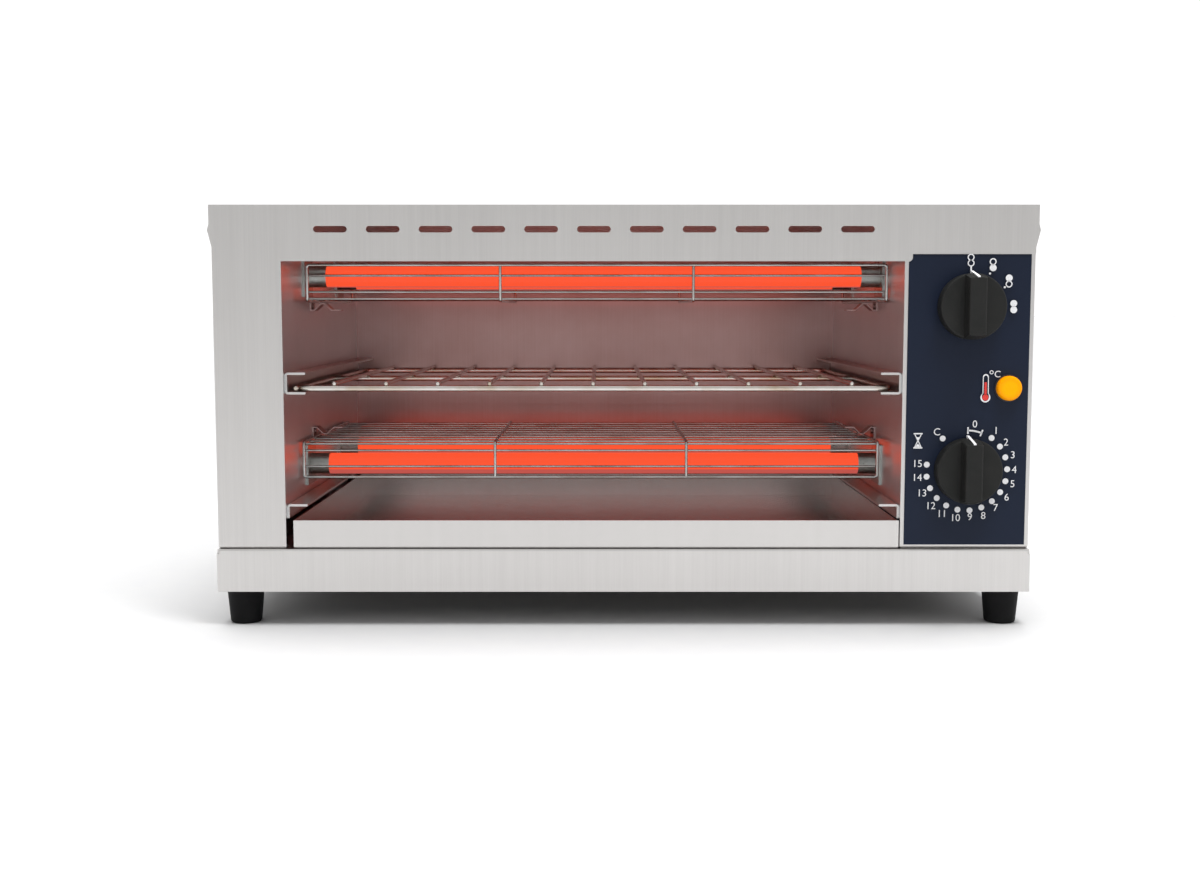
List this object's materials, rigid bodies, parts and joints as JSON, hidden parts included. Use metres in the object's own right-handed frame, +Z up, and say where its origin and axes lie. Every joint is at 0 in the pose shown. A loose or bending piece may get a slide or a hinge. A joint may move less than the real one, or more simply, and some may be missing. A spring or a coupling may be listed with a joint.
{
  "type": "countertop toaster",
  "caption": "Open-fronted steel countertop toaster with quartz tubes above and below a slide-in grid, a crumb tray and a control column.",
  "frame": {"origin": "on the worktop under the middle of the bounding box, knobs and cable gland included", "axes": "+X to the right seen from the front, +Y from the front to the back, +Z up; the open front faces -Y"},
  "size_m": [0.5302, 0.345, 0.2716],
  "materials": {
    "stainless": "fine horizontal brushing",
    "liner": "satin sheet",
    "wire": "plated wire",
    "quartz": "milky quartz, glowing",
    "coil": "glowing wire",
    "tube_metal": "semi-polished",
    "zinc": "zinc plated",
    "foot_rubber": "moulded",
    "overlay": "printed film",
    "knob": "fine texture",
    "device": "moulded",
    "lens": "clear amber",
    "block": "ceramic white"
  },
  "bodies": {
    "body": {"back_panel": "stainless", "back_panel_screws": "zinc", "base_pan": "stainless", "base_screws": "zinc", "cable_gland": "device", "chamber_back_wall": "liner", "chamber_left_wall": "liner", "chamber_right_wall": "liner", "clip_rivets": "liner", "control_overlay": "overlay", "control_panel": "stainless", "cover_screws": "zinc", "earth_nut": "zinc", "earth_stud": "zinc", "foot_nuts": "zinc", "foot_screws": "zinc", "front_fascia": "stainless", "front_left_foot": "foot_rubber", "front_right_foot": "foot_rubber", "gland_dome_nut": "device", "gland_lock_nut": "device", "guard_clips": "liner", "heating_coils": "coil", "left_grid_rail": "liner", "left_side_panel": "stainless", "left_tray_rail": "liner", "lower_front_tube": "quartz", "lower_guard": "wire", "lower_rear_tube": "quartz", "lower_tube_caps": "tube_metal", "pilot_bezel": "device", "pilot_body": "device", "pilot_lens": "lens", "pilot_nut": "device", "rear_left_foot": "foot_rubber", "rear_right_foot": "foot_rubber", "right_grid_rail": "liner", "right_side_panel": "stainless", "right_tray_rail": "liner", "selector_body": "device", "selector_screws": "zinc", "terminal_block": "block", "terminal_block_screws": "zinc", "terminal_nuts": "zinc", "timer_body": "device", "timer_screws": "zinc", "top_cover": "stainless", "tube_end_plates": "tube_metal", "tube_terminals": "zinc", "upper_front_tube": "quartz", "upper_guard": "wire", "upper_rear_tube": "quartz", "upper_tube_caps": "tube_metal"},
    "grid": {"toasting_grid": "wire"},
    "tray": {"crumb_tray": "stainless"},
    "selector": {"selector_knob": "knob", "selector_shaft": "zinc"},
    "timer": {"timer_knob": "knob", "timer_shaft": "zinc"}
  },
  "joints": [
    {"name": "grid_slide", "type": "slide", "parent": "body", "child": "grid", "axis": [0, -1, 0], "range_m": [0, 0.285]},
    {"name": "tray_slide", "type": "slide", "parent": "body", "child": "tray", "axis": [0, -1, 0], "range_m": [0, 0.285]},
    {"name": "selector_turn", "type": "hinge", "parent": "body", "child": "selector", "pos_m": [0.2213, -0.1525, 0.2072], "axis": [0, 1, 0], "range_deg": [0, 90]},
    {"name": "timer_turn", "type": "hinge", "parent": "body", "child": "timer", "pos_m": [0.2213, -0.1525, 0.1019], "axis": [0, 1, 0], "range_deg": [-37.6, 278.3]}
  ]
}
